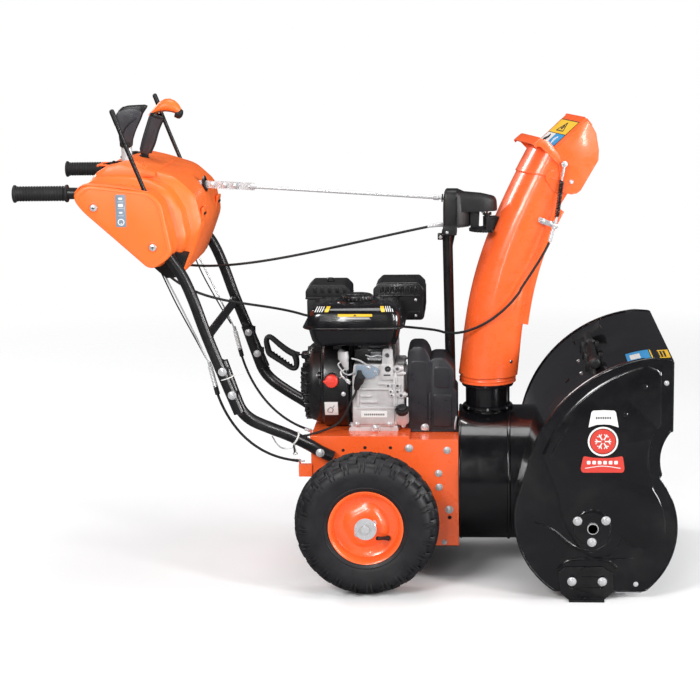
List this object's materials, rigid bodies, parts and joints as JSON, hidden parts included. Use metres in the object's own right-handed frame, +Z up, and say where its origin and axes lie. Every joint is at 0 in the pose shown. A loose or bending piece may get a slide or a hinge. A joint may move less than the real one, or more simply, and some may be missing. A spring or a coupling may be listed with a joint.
{
  "type": "two stage snowblower",
  "caption": "Walk-behind petrol snowblower with a twin ribbon auger, an impeller drum, a turning chute with a tilting deflector, drive wheels and a handlebar console.",
  "frame": {"origin": "on the ground, midway between the wheels and midway from the hand grips' ends to the front of the housing, 40.5 mm behind the axle", "axes": "+X forwards, towards the auger; +Y to the machine's left, seen from the handles; +Z up"},
  "size_m": [1.469, 0.664, 1.1143],
  "materials": {
    "orange_paint": "gloss",
    "black_paint": "gloss",
    "orange_plastic": "satin",
    "black_plastic": "satin",
    "grey_plastic": "satin",
    "steel": "zinc plated",
    "engine_metal": "cast and blasted",
    "gearbox_metal": "cast",
    "grip_rubber": "matt",
    "tyre_rubber": "matt",
    "red_plastic": "satin"
  },
  "bodies": {
    "frame": {"chassis": "orange_paint", "bottom_plate": "black_paint", "lower_handle_right": "black_paint", "lower_handle_left": "black_paint", "upper_handle_right": "black_paint", "upper_handle_left": "black_paint", "handle_crossbar": "black_paint", "grip_right": "grip_rubber", "grip_left": "grip_rubber", "console": "orange_plastic", "frame_bolts": "steel", "engine_block": "engine_metal", "fan_housing": "black_paint", "recoil_cover": "black_paint", "fuel_tank": "black_paint", "air_filter": "black_plastic", "muffler": "black_paint", "belt_cover": "grey_plastic", "control_post": "black_paint", "gear_cover": "black_plastic", "auger_housing": "black_paint", "scraper_bar": "steel", "auger_bearings": "black_paint", "gearbox_case": "gearbox_metal", "drive_belts": "grip_rubber", "clutch_cables": "grip_rubber", "deflector_cable": "grip_rubber", "recoil_rope": "grip_rubber"},
    "wheels": {"wheel_axle": "steel", "rim_right": "orange_paint", "rim_left": "orange_paint", "tyre_right": "tyre_rubber", "tyre_left": "tyre_rubber"},
    "hex_drive": {"hex_shaft": "steel"},
    "friction_wheel": {"friction_wheel": "grip_rubber"},
    "drive_disc": {"drive_disc": "steel"},
    "crankshaft": {"crankshaft": "steel"},
    "impeller": {"impeller": "black_paint", "impeller_shaft": "steel"},
    "auger": {"auger_shaft": "steel", "auger_right": "black_paint", "auger_left": "black_paint"},
    "chute": {"chute": "orange_paint", "chute_gear": "steel", "deflector_spring": "black_plastic"},
    "deflector": {"deflector": "orange_paint", "deflector_link": "steel"},
    "chute_rod": {"chute_rod": "steel"},
    "joystick": {"joystick": "grey_plastic"},
    "gear_lever": {"gear_lever": "grey_plastic"},
    "traction_lever": {"traction_lever": "black_paint"},
    "auger_lever": {"auger_lever": "black_paint"},
    "recoil_grip": {"recoil_grip": "black_plastic"},
    "engine_switch": {"engine_switch": "red_plastic"},
    "fuel_cap": {"fuel_cap": "black_plastic"},
    "dipstick": {"dipstick": "black_plastic"},
    "skid_shoe_right": {"skid_shoe_right": "black_paint"},
    "skid_shoe_left": {"skid_shoe_left": "black_paint"},
    "cleanout_tool": {"cleanout_tool": "black_plastic"}
  },
  "joints": [
    {"name": "wheel_spin", "type": "hinge", "parent": "frame", "child": "wheels", "pos_m": [0.04051, 0, 0.165], "axis": [0, 1, 0], "continuous": true},
    {"name": "hex_spin", "type": "hinge", "parent": "frame", "child": "hex_drive", "pos_m": [0.06021, 0, 0.225], "axis": [0, 1, 0], "continuous": true},
    {"name": "friction_slide", "type": "slide", "parent": "hex_drive", "child": "friction_wheel", "axis": [0, 1, 0], "range_m": [-0.033, 0.03]},
    {"name": "impeller_spin", "type": "hinge", "parent": "frame", "child": "impeller", "pos_m": [0.31051, 0, 0.217], "axis": [1, 0, 0], "continuous": true},
    {"name": "disc_spin", "type": "hinge", "parent": "frame", "child": "drive_disc", "pos_m": [0.12051, 0, 0.217], "axis": [1, 0, 0], "continuous": true},
    {"name": "crank_spin", "type": "hinge", "parent": "frame", "child": "crankshaft", "pos_m": [0.04051, 0, 0.437], "axis": [1, 0, 0], "continuous": true},
    {"name": "auger_spin", "type": "hinge", "parent": "frame", "child": "auger", "pos_m": [0.54851, 0, 0.167], "axis": [0, 1, 0], "continuous": true},
    {"name": "chute_turn", "type": "hinge", "parent": "frame", "child": "chute", "pos_m": [0.31551, 0, 0.45], "axis": [0, 0, 1], "range_deg": [-90, 73], "deforming": ["deflector_cable"]},
    {"name": "deflector_tilt", "type": "hinge", "parent": "chute", "child": "deflector", "pos_m": [0.48765, 0.05263, 0.91], "axis": [-0.2924, 0.9563, 0], "range_deg": [0, 55], "deforming": ["deflector_spring"]},
    {"name": "rod_roll", "type": "hinge", "parent": "frame", "child": "chute_rod", "pos_m": [0.30351, 0, 0.867], "axis": [0.9977, 0, -0.068], "range_deg": [-24.33, 30]},
    {"name": "joystick_tilt", "type": "hinge", "parent": "chute_rod", "child": "joystick", "pos_m": [-0.49249, 0, 0.92127], "axis": [0, 1, 0], "range_deg": [0, 22]},
    {"name": "gear_tilt", "type": "hinge", "parent": "frame", "child": "gear_lever", "pos_m": [-0.50149, -0.14, 0.88], "axis": [0, 1, 0], "range_deg": [-18, 16]},
    {"name": "traction_squeeze", "type": "hinge", "parent": "frame", "child": "traction_lever", "pos_m": [-0.42749, -0.279, 0.895], "axis": [0, 1, 0], "range_deg": [-49, 0]},
    {"name": "auger_squeeze", "type": "hinge", "parent": "frame", "child": "auger_lever", "pos_m": [-0.42749, 0.279, 0.895], "axis": [0, 1, 0], "range_deg": [-49, 0]},
    {"name": "recoil_pull", "type": "slide", "parent": "frame", "child": "recoil_grip", "axis": [-0.995, 0, 0.0995], "range_m": [0, 0.35], "deforming": ["recoil_rope"]},
    {"name": "switch_turn", "type": "hinge", "parent": "frame", "child": "engine_switch", "pos_m": [-0.04649, -0.12, 0.462], "axis": [0, 1, 0], "range_deg": [0, 90]},
    {"name": "fuel_cap_turn", "type": "hinge", "parent": "frame", "child": "fuel_cap", "pos_m": [0.01251, -0.052, 0.65], "axis": [0, 0, 1], "range_deg": [0, 90]},
    {"name": "dipstick_turn", "type": "hinge", "parent": "frame", "child": "dipstick", "pos_m": [0.11651, -0.092, 0.366], "axis": [0, -0.6428, 0.766], "range_deg": [0, 180]},
    {"name": "skid_right_lift", "type": "slide", "parent": "frame", "child": "skid_shoe_right", "axis": [0, 0, 1], "range_m": [0, 0.012]},
    {"name": "skid_left_lift", "type": "slide", "parent": "frame", "child": "skid_shoe_left", "axis": [0, 0, 1], "range_m": [0, 0.012]},
    {"name": "tool_lift", "type": "slide", "parent": "frame", "child": "cleanout_tool", "axis": [0, 0, 1], "range_m": [0, 0.1]}
  ],
  "couplings": [
    {"joint": "hex_spin", "follows": "wheel_spin", "ratio": -3},
    {"joint": "friction_slide", "follows": "gear_tilt", "m_per_rad": 0.1},
    {"joint": "crank_spin", "follows": "impeller_spin", "ratio": 2.1258},
    {"joint": "disc_spin", "follows": "impeller_spin", "ratio": 1.2056},
    {"joint": "auger_spin", "follows": "impeller_spin", "ratio": 0.1},
    {"joint": "rod_roll", "follows": "chute_turn", "ratio": -0.33333},
    {"joint": "joystick_tilt", "follows": "deflector_tilt", "ratio": 0.4}
  ]
}
